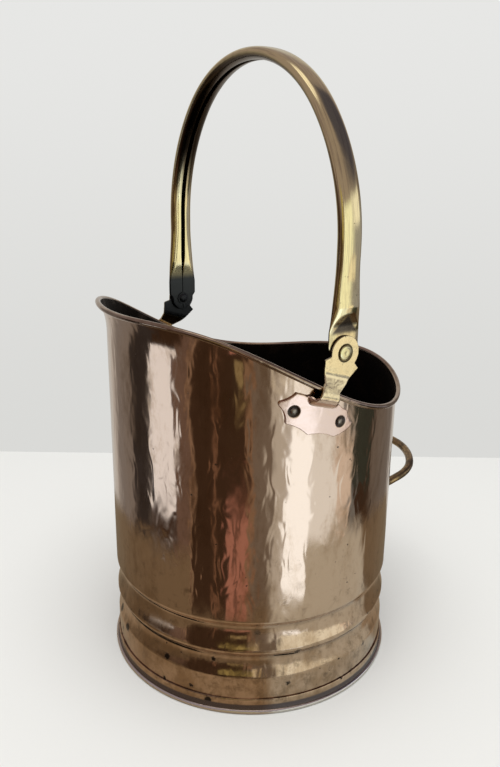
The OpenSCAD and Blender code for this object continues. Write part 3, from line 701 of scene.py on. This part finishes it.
def buildWallTree():
    tree, takes, gives = newGroup("bucketWall", "Geometry", {
        **wall, "Radius": 0.13, "Sheet": 0.001, "Base Height": 0.002, "Outside": "Material",
        "Inside": "Material"}, {"Geometry": "Geometry"})
    radius, base, split = takes["Radius"], takes["Base Height"], takes["Split Height"]
    outerRows = takes["Low Rows"] + takes["High Rows"]
    rows = outerRows + takes["Inner Rows"] + 2.0
    grid = addNode(tree, "MeshGrid", {
        "Size X": 1.0, "Size Y": 1.0, "Vertices X": takes["Around"], "Vertices Y": rows})
    across, upwards, _ = parts(addNode(tree, "InputPosition"))
    turn = (across + 0.5) * (2 * pi)
    row = (upwards + 0.5) * (rows - 1.0)
    marked = addNode(tree, "StoreNamedAttribute", {
        "Geometry": grid, "Name": "inside", "Value": row > outerRows + 0.25},
        domain="FACE", data_type="BOOLEAN")
    # how far along each stretch of the sheet's outline: low outside, high outside, inside
    lowShare = calc("DIVIDE", row, takes["Low Rows"], use_clamp=True)
    highShare = calc("DIVIDE", row - takes["Low Rows"], takes["High Rows"], use_clamp=True)
    innerShare = calc("DIVIDE", row - outerRows - 1.0, takes["Inner Rows"] - 1.0, use_clamp=True)
    isInner = (row > outerRows + 0.5) * (row < rows - 1.5)
    sheet = mouthSheet(tree)
    sine, cosine = calc("SINE", turn), calc("COSINE", turn)
    flared = radius + flareAt(mouthHeight(sheet, sine * radius))
    top = mouthHeight(sheet, sine * flared) - takes["Rim Room"]
    outer = base + (lowShare * (split - base) + highShare * (top - split))
    height = outer - innerShare * (outer - base)
    # radius from the height, less the sheet on the inside and the dents
    dips = bandDip(height, takes, "Upper") + bandDip(height, takes, "Lower")
    spot = vector(tree, cosine * radius, sine * radius, height * takes["Dent Stretch"])
    dents = noise(spot, takes["Dent Size"], 3.0, 0.5, 0.3) * takes["Dent Depth"]
    radius = radius + flareAt(height) - dips - isInner * takes["Sheet"] - dents
    flat = vectorCalc("SCALE", vector(tree, cosine, sine), None, None, radius)
    bent = addNode(tree, "SetPosition", {
        "Geometry": marked, "Position": vectorCalc("ADD", flat, vector(tree, z=height))})
    joined = addNode(tree, "MergeByDistance", {"Geometry": bent, "Distance": 0.00001})
    inner = addNode(tree, "InputNamedAttribute", {"Name": "inside"}, data_type="BOOLEAN")
    feed(gives["Geometry"], addNode(tree, "SetMaterial", {
        "Geometry": coated(joined, takes["Outside"]), "Selection": inner, "Material": takes["Inside"]}))
    return tree


bucketWall = smoothed(grow("bucketWall", buildWallTree(), {
    **wall, "Radius": bucket["wallRadius"], "Sheet": bucket["sheet"], "Base Height": bucket["baseHeight"],
    "Outside": lacqueredCopper, "Inside": sootyCopper}), 60)
reshape(bucketWall, outward)
settle(bucketWall, "bucket", "body_shell", slot="copper_sheet")
print("wall ready:", len(bucketWall.data.polygons), "faces")

# the rolled rim: the same mouth curve, with the sheet's rolled outline swept along it
rim = {
    "Around": 300, "Roll Points": 40, "Roll Radius": 2.3 * mm, "Roll Sheet": 0.9 * mm,
    "Middle Radius": bucket["wallRadius"] + 1.34 * mm, "Tuck": radians(112),
}


def moved(curve, x, y, z=0.0):
    return addNode(x.tree, "SetPosition", {"Geometry": curve, "Position": vector(x.tree, x, y, z)})


def buildRimTree():
    tree, takes, gives = newGroup("rimRoll", "Geometry", {**rim, "Metal": "Material"},
                                  {"Geometry": "Geometry"})
    middle = takes["Middle Radius"]
    circle = addNode(tree, "CurvePrimitiveCircle", {"Resolution": takes["Around"], "Radius": middle})
    x, y, _ = parts(addNode(tree, "InputPosition"))
    sheet = mouthSheet(tree)
    wider = (middle + flareAt(mouthHeight(sheet, y))) / middle
    path = moved(circle, x * wider, y * wider, mouthHeight(sheet, y * wider))
    path = addNode(tree, "SetCurveNormal", {"Curve": path}, mode="Z_UP")
    # the outline runs round the outside of the roll and back along its inside
    outline = addNode(tree, "CurvePrimitiveCircle", {"Resolution": takes["Roll Points"]})
    index = addNode(tree, "InputIndex")
    half = takes["Roll Points"] * 0.5
    back = index > half - 0.5
    part = abs((index - back * half) / (half - 1.0) - back)
    turn = part * (takes["Tuck"] + pi) - takes["Tuck"]
    radius = takes["Roll Radius"] - back * takes["Roll Sheet"]
    outline = moved(outline, radius * calc("COSINE", turn), radius * (calc("SINE", turn) * -1.0))
    swept = addNode(tree, "CurveToMesh", {"Curve": path, "Profile Curve": outline})
    feed(gives["Geometry"], coated(swept, takes["Metal"]))
    return tree


rimRoll = smoothed(grow("rimRoll", buildRimTree(), {**rim, "Metal": lacqueredCopper}), 50)
settle(rimRoll, "bucket", "rim_curl", slot="copper_sheet")
print("rim ready:", len(rimRoll.data.polygons), "faces")

# the foot band: a skirt that turns outwards into a rolled bead
foot = dict(
    skirt=132.36 * mm, sheet=0.88 * mm, height=14 * mm, coveTop=8.68 * mm, coveSteps=10,
    bead=2.2 * mm, beadMiddle=(133.8 * mm, 2.0 * mm), beadSteps=18, around=300,
    # where the bead leaves the cove and where it ends, as angles over and under level
    beadStart=radians(66), beadEnd=radians(115),
)


def makeFoot():
    middle, level = foot["beadMiddle"]
    skirt, sheet, height = foot["skirt"], foot["sheet"], foot["height"]
    outline = [(skirt, height - 0.1 * mm), (skirt + 0.2 * mm, height), (skirt + sheet - 0.2 * mm, height),
               (skirt + sheet, height - 0.25 * mm), (skirt + sheet, foot["coveTop"] + 1.2 * mm)]
    joint, coveHeight = foot["beadStart"], foot["coveTop"] - level
    lift = foot["bead"] * sin(joint)
    for i in range(foot["coveSteps"] + 1):              # the cove, in a quarter wave down to the bead
        z = level + lift + (1 - i / foot["coveSteps"]) * (coveHeight - lift)
        wave = 1 - sin(pi / 2 * (z - level) / coveHeight)
        outline.append((skirt + sheet + (middle - skirt) * wave, z))
    for i in range(foot["beadSteps"] + 1):              # round the bead to its worn flat
        turn = joint - (joint + foot["beadEnd"]) * i / foot["beadSteps"]
        outline.append((middle + foot["bead"] * cos(turn), max(0, level + foot["bead"] * sin(turn))))
    outline += [(skirt + 0.15 * mm, 0.4 * mm), (skirt, 1.2 * mm)]
    turns = [2 * pi * k / foot["around"] for k in range(foot["around"])]
    rings = [[(r * cos(turn), r * sin(turn), z) for r, z in outline] for turn in turns]
    return skin("footBand", rings, footCopper, closed=True)


footBand = smoothed(makeFoot(), 40)
settle(footBand, "bucket", "foot_ring", slot="copper_sheet")
print("foot ready:", len(footBand.data.polygons), "faces")

# the bail: an arch of sheet folded to a hollow section, pressed flat at both ends. Millimetres,
# with heights over the pivot; a pair for share() is where a change starts and how long it takes
bail = dict(
    width=21.4, depth=10.2, sheet=1.0, seam=3.9, seamLeast=0.12, seamEase=0.3, lipTurn=2.6,
    lipEase=0.35, lipRoom=0.1, frontDepth=6.2, frontPower=3.0,
    backEdge=4.6, backSpread=8.8, backPower=0.72, flankSteps=10, faceSteps=13, faceEnd=13.4,
    tabWidth=30.2, tabThick=2.36, tabRadius=12.0, tabShoulder=5.0, tabFlat=17.0, endSteps=12,
    flatLevels=(0, 1.7, 3.4, 5.0, 7, 9, 11, 13, 15), fineStep=0.7, fineSteps=36, coarseStep=2.5,
    # above the flat the tube rounds out, quickly at first and then slowly up to the shoulder
    swell=22.0, swellPart=0.62, rest=60.0, outwards=20.0, spreadTop=70.0, spreadPower=1.4,
    seamOpens=(21.0, 22.0),
    # the slope that pressing has cut across the rounded outer face, and the bulge over it
    pressFoot=21.5, pressSlope=0.46, pressEase=3.5, pressFace=127.28, pressLeast=1.1,
    bulge=1.5, bulgeRise=(17, 12), bulgeFall=(-56, 20),
    tabMiddle=126.1, waist=82.0, half=127.2,
    shoulderRadius=155.119, shoulderMiddle=(-27.919, 82.0), shoulderSteps=28,
    crownRadius=118.673, crownMiddle=(0.0, 105.427), crownTurn=50.0, crownSteps=34,
    streakAcross=0.35, streakAlong=0.012,
)


def bailOpen(h):
    quick = smooth(share(h, bail["tabFlat"], bail["swell"]))
    return bail["swellPart"] * quick + (1 - bail["swellPart"]) * share(h, bail["tabFlat"], bail["rest"])


def bailStations():
    # middle line's x and height over the pivot, its outward angle, and how far it is open
    def arc(middle, radius, first, last, count):
        turns = [radians(first + (last - first) * i / count) for i in range(1, count + 1)]
        return [(middle[0] + radius * cos(a), middle[1] + radius * sin(a), a, 1.0) for a in turns]

    ends = [-bail["tabRadius"] * cos(pi / 2 * i / bail["endSteps"]) * 0.997
            for i in range(bail["endSteps"])]
    side = [(bail["tabMiddle"], h, 0.0, 0.0) for h in (*ends, *bail["flatLevels"])]
    levels = [bail["tabFlat"] + bail["fineStep"] * i for i in range(bail["fineSteps"])]
    while levels[-1] < bail["waist"] - 3:
        levels.append(levels[-1] + bail["coarseStep"])
    for h in levels:
        outwards = sin(pi / 2 * share(h, bail["tabFlat"], bail["outwards"]))
        side.append((bail["tabMiddle"] + (bail["half"] - bail["tabMiddle"]) * outwards, h, 0.0, bailOpen(h)))
    side.append((bail["half"], bail["waist"], 0.0, 1.0))
    turn = 90 - bail["crownTurn"]
    side += arc(bail["shoulderMiddle"], bail["shoulderRadius"], 0, turn, bail["shoulderSteps"])
    side += arc(bail["crownMiddle"], bail["crownRadius"], turn, 90, bail["crownSteps"])
    return side + [(-x, h, pi - a, f) for x, h, a, f in reversed(side[:-1])]


def bailWidth(h):
    if h < 0:
        return 2 * sqrt(max(0.5, bail["tabRadius"] ** 2 - h * h))
    if h < bail["tabShoulder"]:
        end = 2 * bail["tabRadius"]
        return end + (bail["tabWidth"] - end) * smooth(h / bail["tabShoulder"])
    f = share(bail["spreadTop"] - h, 0, bail["spreadTop"] - bail["tabFlat"])
    return bail["width"] + (bail["tabWidth"] - bail["width"]) * f ** bail["spreadPower"]


def bailSide(depth, width, seam, lip, backEdge, frontDepth, face):
    # one side of the folded sheet, from the seam round to the middle of the outer face
    half, back = width / 2, -depth / 2
    points = [(lip + back, seam), (back + bail["lipEase"] * (lip > 1), seam), (back, seam + bail["seamEase"])]
    spread = min(bail["backSpread"], 2 * backEdge, half - seam - 0.5)
    for i in range(bail["flankSteps"] + 1):             # the rounded flank beside the lip
        t = sin(pi / 2 * i / bail["flankSteps"])
        points.append((back + backEdge * (1 - (1 - t * t) ** bail["backPower"]), half - spread + spread * t))
    for i in range(1, bail["faceSteps"] + 1):           # the domed face, and how far it may stand out
        a, power = pi / 2 * i / bail["faceEnd"], 2 / bail["frontPower"]
        w, v = depth / 2 - frontDepth * (1 - sin(a) ** power), half * cos(a) ** power
        points.append((min(w + face[0] * (1 - (v / half) ** 2), face[1]), v))
    return points


def bailSection(isOpen, seam, width, face):
    depth = bail["tabThick"] + (bail["depth"] - bail["tabThick"]) * isOpen
    sheet, room = min(bail["sheet"], 0.4 * depth), bail["lipRoom"]
    lip = sheet + room + (bail["lipTurn"] - bail["sheet"] - room) * isOpen
    front, back = min(bail["frontDepth"], 0.6 * depth), min(bail["backEdge"], 0.4 * depth)
    fold = 0.45 * (depth - 2 * sheet)
    outer = bailSide(depth, width, seam, lip, back, front, face)
    inner = bailSide(depth - 2 * sheet, width - 2 * sheet, seam + sheet, max(lip - sheet, 0.05),
                     min(max(back - sheet, 0.2), fold), max(front - sheet, min(fold, 0.2)),
                     (face[0], face[1] - sheet))
    return (outer + [(w, -v) for w, v in reversed(outer)]
            + [(w, -v) for w, v in inner] + list(reversed(inner)))


def makeBail():
    rings, notes, run, last, ease = [], [], 0, None, bail["pressEase"]
    for x, h, turn, isOpen in bailStations():
        seam = bail["seamLeast"] + bail["seam"] / 2 * share(h, *bail["seamOpens"])
        if isOpen == 0:
            seam = min(seam, bailWidth(h) / 8)
        bulge = bail["bulge"] * share(h, *bail["bulgeRise"]) * share(-h, *bail["bulgeFall"])
        over = h - bail["pressFoot"]
        over = max(0, over) if abs(over) > ease else (over + ease) ** 2 / (4 * ease)
        pressed = bail["pressFace"] + bail["pressSlope"] * over - abs(x) if h < bail["waist"] else inf
        section = bailSection(isOpen, seam, bailWidth(h), (bulge, max(pressed, bail["pressLeast"])))
        rings.append([((x + w * cos(turn)) * mm, pivot.y + v * mm, pivot.z + (h + w * sin(turn)) * mm)
                      for w, v in section])
        run += hypot(x - last[0], h - last[1]) if last else 0
        last = (x, h)
        for i, (w, v) in enumerate(section):
            inside = float(i >= len(section) // 2 and isOpen > 0)
            notes.append((2 * w / bail["depth"], v * bail["streakAcross"], run * bail["streakAlong"], inside))
    made = skin("bailHandle", rings, bailBrass)
    # what the finish reads on each point
    for name, values in zip(("side", "across", "run", "inside"), zip(*notes)):
        made.data.attributes.new(name, "FLOAT", "POINT").data.foreach_set("value", values)
    return made


bailHandle = smoothed(makeBail(), 42)
settle(bailHandle, "bail", "bail", slot="aged_brass")
print("bail ready:", len(bailHandle.data.polygons), "faces")


# the ears: a flat outline cut to shape, folded over the roll and wrapped on the wall
def bowed(first, last, bow, count=7):
    # an arc of points from first up to last, standing off the chord by bow
    first, last = Vector(first), Vector(last)
    chord = last - first
    side = Vector((-chord.y, chord.x)).normalized()
    return [first + chord * (i / count) + side * bow * (1 - (2 * i / count - 1) ** 2) for i in range(count)]


def earOutline():
    middle = Vector(ear["plate"])
    edge = [(*(middle + Vector(p[:2])), p[2]) for p in ear["edge"]]
    points = []
    for (u, v, bow), after in zip(edge, edge[1:]):
        points += bowed((u, v), after[:2], -bow)
    points.append(Vector(edge[-1][:2]))
    points += [Vector(p) for p in reversed(ear["stripBack"])]
    for i in range(ear["eyeSteps"] + 1):
        turn = radians(ear["eyeStart"] + ear["eyeTurn"] * i / ear["eyeSteps"])
        points.append(Vector((ear["eye"] * cos(turn), ear["eye"] * sin(turn))))
    return points + [Vector(p) for p in reversed(ear["strip"])]


def along(table, at):
    for (top, first), (bottom, last) in zip(table, table[1:]):
        if at >= bottom:
            return first + (last - first) * (top - at) / (top - bottom) if at < top else first
    return table[-1][1]


def earInner(u, v, y):
    # distance of the ear's inner face from the middle plane
    bend = sum(along(ear["fold"], v + ear["foldStep"] * d) for d in range(-3, 4)) / 7
    onWall = sqrt(max(0, ear["wallFace"] ** 2 - y * y))
    strip = ear["eyeFace"] + (ear["rollFace"] - ear["eyeFace"]) * bend
    landed = share(-v, -ear["landing"][0], ear["landing"][1])
    beside = (share(abs(u - ear["plate"][0]), *ear["besideStrip"])
              * share(-v, -ear["besideLanding"][0], ear["besideLanding"][1]))
    hold = 1 - (1 - smooth(landed)) * (1 - smooth(beside))
    return strip * (1 - hold) + onWall * hold


def makeEar(name, side):
    shape = bmesh.new()
    shape.faces.new([shape.verts.new((p.x, p.y, 0)) for p in earOutline()])
    for axis, (low, high) in enumerate(ear["cutBox"]):  # a grid of cuts, so that it can bend
        cut, normal = low, tuple(float(k == axis) for k in range(3))
        while cut < high:
            where = tuple(cut if k == axis else 0 for k in range(3))
            bmesh.ops.bisect_plane(shape, geom=shape.verts[:] + shape.edges[:] + shape.faces[:],
                                   plane_co=where, plane_no=normal, dist=0.02)
            fine = axis and ear["fineRows"][0] < cut < ear["fineRows"][1]
            cut += ear["grid"] / 2 if fine else ear["grid"]
    for vert in shape.verts:
        u, v = vert.co.x, vert.co.y
        y, z = earPlace(u, v)
        vert.co = Vector((side * earInner(u, v, y), y, z)) * mm
    outward(shape)
    if sum(f.normal.x for f in shape.faces) * side < 0:
        bmesh.ops.reverse_faces(shape, faces=shape.faces)
    made = newObject(name, [], [])
    shape.to_mesh(made.data)
    shape.free()
    thick = made.modifiers.new("thick", "SOLIDIFY")
    thick.thickness, thick.offset, thick.use_even_offset = ear["thick"] * mm, 1.0, True
    cutters = earCutters(side)
    for item in cutters:
        cut = made.modifiers.new("cut", "BOOLEAN")
        cut.object, cut.operation, cut.solver = item, "DIFFERENCE", "EXACT"
    eased(made, ear["voxel"], ear["rounds"], earBrass)
    for item in cutters:
        bpy.data.objects.remove(item)
    return made


def onWall(side, y, z, radius):
    return Vector((side * sqrt(radius ** 2 - y * y), y, z)) * mm


def earCutters(side):
    # the seat of the pivot's head, and a dish for each fixing rivet
    seat = (ear["eyeFace"] + ear["thick"] - ear["headSeat"]) * mm
    room, dish, r = ear["headRoom"] * mm, ear["dish"] * mm, ear["dishRadius"] * mm
    made = [turned("seat", [(0, 0), (0, room), (0.01, room), (0.01, 0)],
                   (side * seat, pivot.y, pivot.z), (side, 0, 0))]
    profile = [(-dish, 0), (-dish, 0.62 * r), (-0.5 * dish, 0.8 * r), (0, r), (0.004, r + 0.006), (0.004, 0)]
    for u in ear["rivets"]:
        place = onWall(side, *earPlace(u, ear["rivetRow"]), ear["wallFace"] + ear["thick"])
        made.append(turned("dish", profile, place, (place.x, place.y, 0)))
    return made


for side, name in sides:
    made = makeEar("ear_" + name + "_folded", side)
    settle(made, "bucket", "ear_" + name, slot="aged_brass")
    print("ear ready:", len(made.data.polygons), "faces")

# pivot rivets and washers, in metres from the middle plane
pin = dict(
    head=5.8 * mm, headRise=1.7 * mm, shank=3.0 * mm, tail=4.5 * mm, tailRise=1.4 * mm,
    tailEdge=0.3 * mm, seat=128.9 * mm, washer=123.8 * mm, washerThick=0.8 * mm,
    washerRadius=6.0 * mm, washerRoom=0.05 * mm, washerEase=0.15 * mm,
)


def pinProfile():
    head, seat, washer, shank = pin["head"], pin["seat"], pin["washer"], pin["shank"]
    rise, tail, tailRise = pin["headRise"], pin["tail"], pin["tailRise"]
    crown = [(seat + rise * (0.9 + 0.1 * k / 4), head * 0.1 * k) for k in range(5)]
    domed = [(seat + rise * (0.55 + 0.43 * sqrt(1 - (k / 12) ** 2)), head * (0.45 + 0.55 * k / 12))
             for k in range(1, 12)]
    return crown + domed + [
        (seat + rise * 0.5, head), (seat + rise * 0.2, head), (seat, head * 0.98), (seat, shank),
        (washer, shank), (washer, tail * 0.96), (washer - pin["tailEdge"], tail),
        (washer - tailRise * 0.75, tail * 0.8), (washer - tailRise, tail * 0.45),
        (washer - tailRise * 0.85, 0)]


def washerProfile():
    inner, outer, ease = pin["shank"] + pin["washerRoom"], pin["washerRadius"], pin["washerEase"]
    low, high = pin["washer"], pin["washer"] + pin["washerThick"]
    return [(low, inner), (low, outer - ease), (low + ease, outer), (high - ease, outer),
            (high, outer - ease), (high, inner)]


for side, name in sides:
    for piece, node, profile, around in (("pivotPin_", "pivot_rivet_", pinProfile(), 64),
                                         ("pivotWasher_", "pivot_washer_", washerProfile(), 48)):
        made = turned(piece + name, profile, (0, pivot.y, pivot.z), (side, 0, 0), rivetBrass, around)
        settle(smoothed(made, 40), "bucket", node + name, slot="aged_brass")

# the bow handle at the back, a copy of the plain solid with its edges eased
bow = dict(
    voxel=0.5, rounds=10, footThick=2.6, rivetFace=134.95,
    rivets=[(123.03, 148.7), (127.48, 148.7)],
)

bowHandle = newObject("bowHandle", [], [], bowBrass)
reshape(bowHandle, lambda shape: bmesh.ops.remove_doubles(shape, verts=shape.verts, dist=1e-6),
        source=frame["nodes"]["rear_handle"].data)
eased(bowHandle, bow["voxel"], bow["rounds"], bowBrass)
settle(bowHandle, "bucket", "rear_handle", slot="aged_brass")
print("bow handle ready:", len(bowHandle.data.polygons), "faces")

# fixing rivets, put on the wall from their places
rivet = {
    "Head Radius": 2.8 * mm, "Head Rise": 1.25 * mm, "Tail Rise": 0.6 * mm, "Shank Radius": 1.7 * mm,
    "Segments": 28, "Rings": 14,
}


def buildRivetTree():
    tree, takes, gives = newGroup("fixingRivets", "Geometry", {
        "Places": "Geometry", **rivet, "Grip": 0.003, "Metal": "Material"}, {"Geometry": "Geometry"})
    ball = addNode(tree, "MeshUVSphere", {
        "Segments": takes["Segments"], "Rings": takes["Rings"], "Radius": 1.0})

    def dome(rise, lift):
        size = vector(tree, takes["Head Radius"], takes["Head Radius"], rise)
        return addNode(tree, "Transform", {
            "Geometry": ball, "Scale": size, "Translation": vector(tree, z=lift)})

    under = takes["Grip"] * -1.0
    shank = addNode(tree, "MeshCylinder", {
        "Vertices": takes["Segments"], "Radius": takes["Shank Radius"], "Depth": takes["Grip"]})
    lowered = addNode(tree, "Transform", {"Geometry": shank, "Translation": vector(tree, z=under * 0.5)})
    whole = addNode(tree, "JoinGeometry")
    for part in (lowered, dome(takes["Tail Rise"], under), dome(takes["Head Rise"], 0.0)):
        feed(whole.node.inputs[0], part)
    x, y, _ = parts(addNode(tree, "InputPosition"))
    turn = addNode(tree, "FunctionNodeAlignRotationToVector", {"Vector": vector(tree, x, y)}, axis="Z")
    put = addNode(tree, "InstanceOnPoints", {"Points": takes["Places"], "Instance": whole, "Rotation": turn})
    feed(gives["Geometry"], coated(put, takes["Metal"]))
    return tree


rivetTree = buildRivetTree()
earRadius = ear["wallFace"] + ear["thick"] - ear["dish"] + 0.1
footRadius = bucket["wallRadius"] / mm + bow["footThick"] + 0.1
for side, name in sides:
    onEar = [onWall(side, *earPlace(u, ear["rivetRow"]), earRadius) for u in ear["rivets"]]
    onFoot = [onWall(side, y, z, footRadius) for y, z in bow["rivets"]]
    for label, node, places, face in (("ear", "ear_rivets_", onEar, earRadius),
                                      ("bow", "handle_rivets_", onFoot, bow["rivetFace"])):
        made = grow(label + "Rivets_" + name, rivetTree, {
            **rivet, "Grip": face * mm - bucket["wallRadius"] + bucket["sheet"], "Metal": dullBrass}, places)
        settle(smoothed(made, 50), "bucket", node + name, slot="aged_brass")
print("rivets ready")

# nodes that keep their own solids
for name, finish in (("base_pan", sootyCopper), ("rim_wire", drawnIron), ("foot_wire", drawnIron)):
    for slot in frame["nodes"][name].material_slots:
        slot.material = finish
